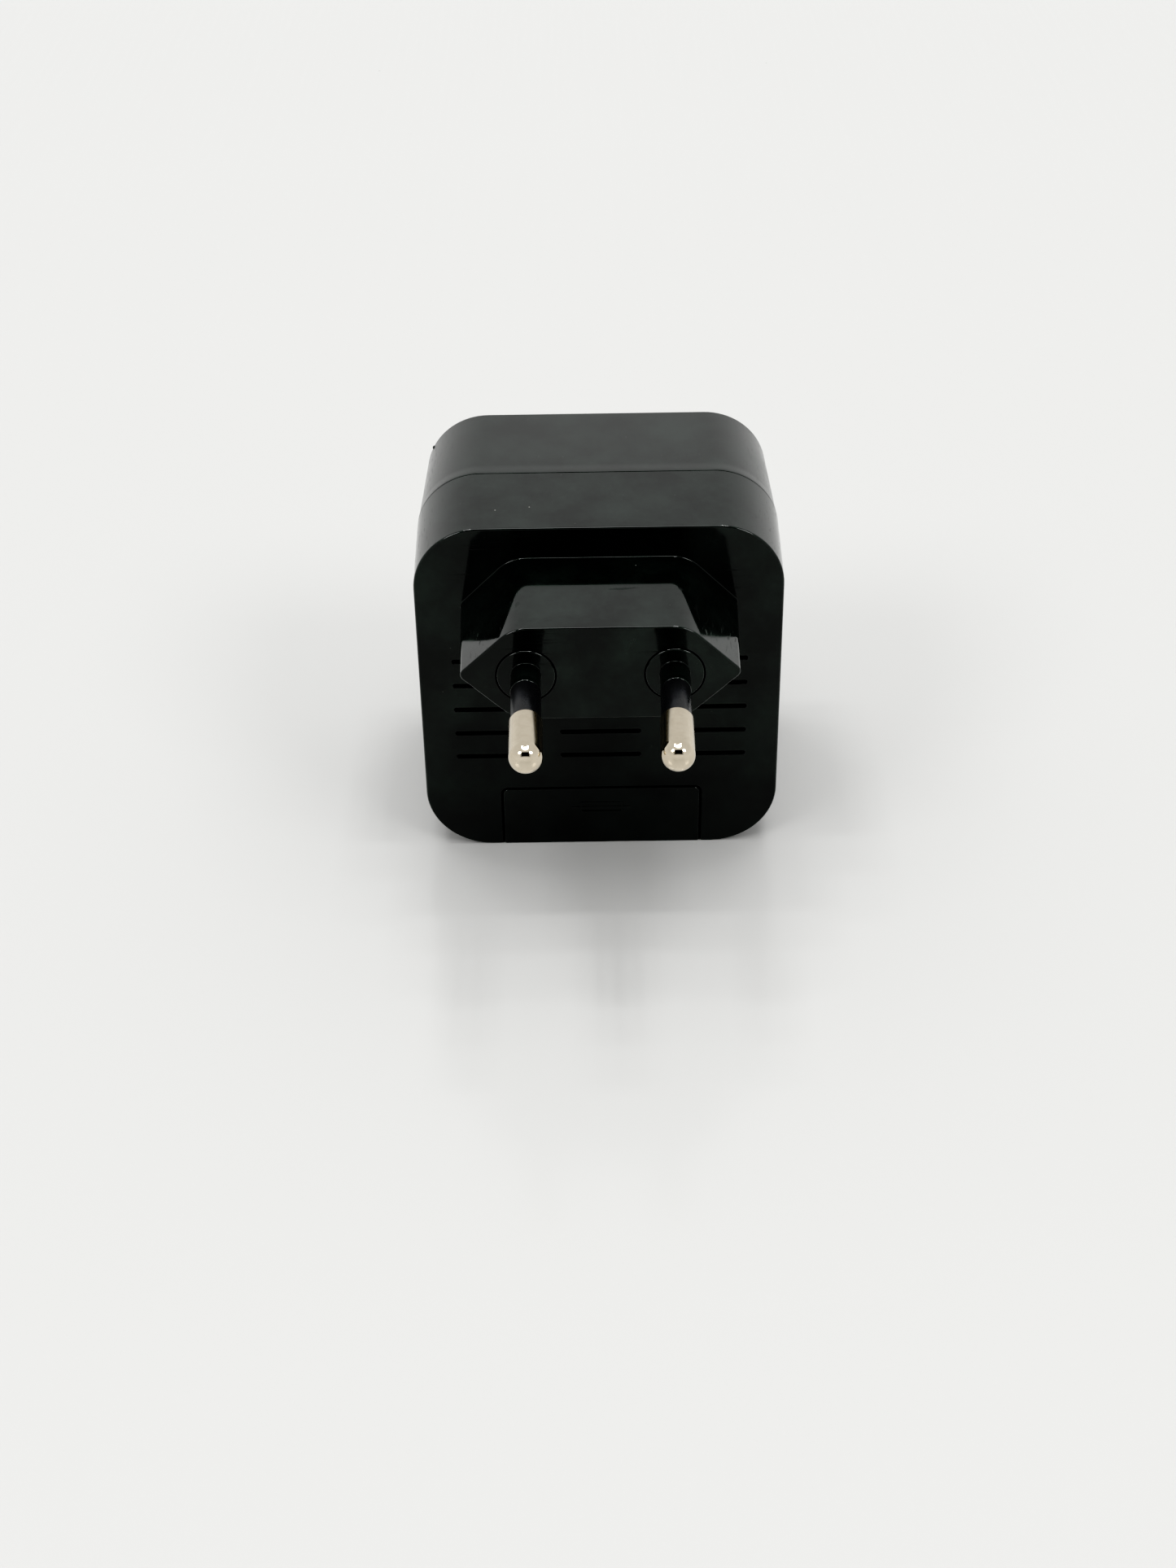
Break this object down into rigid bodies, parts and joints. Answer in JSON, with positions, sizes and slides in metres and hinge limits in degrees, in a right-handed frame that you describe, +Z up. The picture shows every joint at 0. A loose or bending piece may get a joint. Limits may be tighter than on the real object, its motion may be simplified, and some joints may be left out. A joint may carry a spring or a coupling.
{
  "type": "universal travel adapter",
  "caption": "Compact travel adapter: two-pin plug boss with vents and a fuse drawer on the front, universal socket with a sprung shutter and charging ports on the rear.",
  "frame": {"origin": "on the flat bottom face, under the middle of the body's width and of the body's depth from front face to rear face", "axes": "+X to the right as seen from the plug side, +Y from the plug side to the socket side, so the pins point along -Y, +Z up"},
  "size_m": [0.0474, 0.068, 0.049],
  "materials": {
    "shell_black": "polished near-black plastic",
    "sleeve_grey": "matte dark grey plastic sleeve",
    "inner_black": "fine matte black plastic",
    "nickel": "bright nickel plate",
    "brass": "stamped brass strip",
    "steel": "zinc plated steel",
    "ceramic": "unglazed white ceramic",
    "board_green": "solder-masked glass fibre board",
    "ferrite": "dark grey ferrite",
    "tape_yellow": "yellow winding tape",
    "capacitor_blue": "blue sleeve"
  },
  "bodies": {
    "casing": {"front_shell": "shell_black", "rear_shell": "shell_black", "socket_faceplate": "shell_black", "contact_carrier": "inner_black", "pin_clamp_plate": "inner_black", "fuse_bay": "inner_black", "shutter_spring_left": "steel", "shutter_spring_right": "steel", "socket_contact_live": "brass", "socket_contact_neutral": "brass", "busbar_live": "brass", "busbar_neutral": "brass", "fuse_clip_left": "brass", "fuse_clip_right": "brass", "case_screw_left": "steel", "case_screw_right": "steel", "pin_left": "nickel", "pin_right": "nickel", "pin_sleeve_left": "sleeve_grey", "pin_sleeve_right": "sleeve_grey", "pin_bush_left": "shell_black", "pin_bush_right": "shell_black", "circuit_board": "board_green", "transformer_core": "ferrite", "transformer_winding": "tape_yellow", "bulk_capacitor_left": "inner_black", "bulk_capacitor_right": "inner_black", "output_capacitor": "capacitor_blue", "bridge_rectifier": "inner_black", "controller_chip": "inner_black", "safety_capacitor": "capacitor_blue", "usb_shell_left": "steel", "usb_shell_right": "steel", "usb_tongue_left": "inner_black", "usb_tongue_right": "inner_black"},
    "drawer": {"fuse_drawer": "shell_black", "fuse_tube": "ceramic", "fuse_cap_left": "nickel", "fuse_cap_right": "nickel"},
    "shutter": {"shutter": "inner_black"}
  },
  "joints": [
    {"name": "drawer_slide", "type": "slide", "parent": "casing", "child": "drawer", "axis": [0, -1, 0], "range_m": [0, 0.01]},
    {"name": "shutter_slide", "type": "slide", "parent": "casing", "child": "shutter", "axis": [0, 0, 1], "range_m": [0, 0.0094], "stiffness_N_per_m": 60, "springref_m": -0.004, "deforming": ["shutter_spring_left", "shutter_spring_right"]}
  ]
}
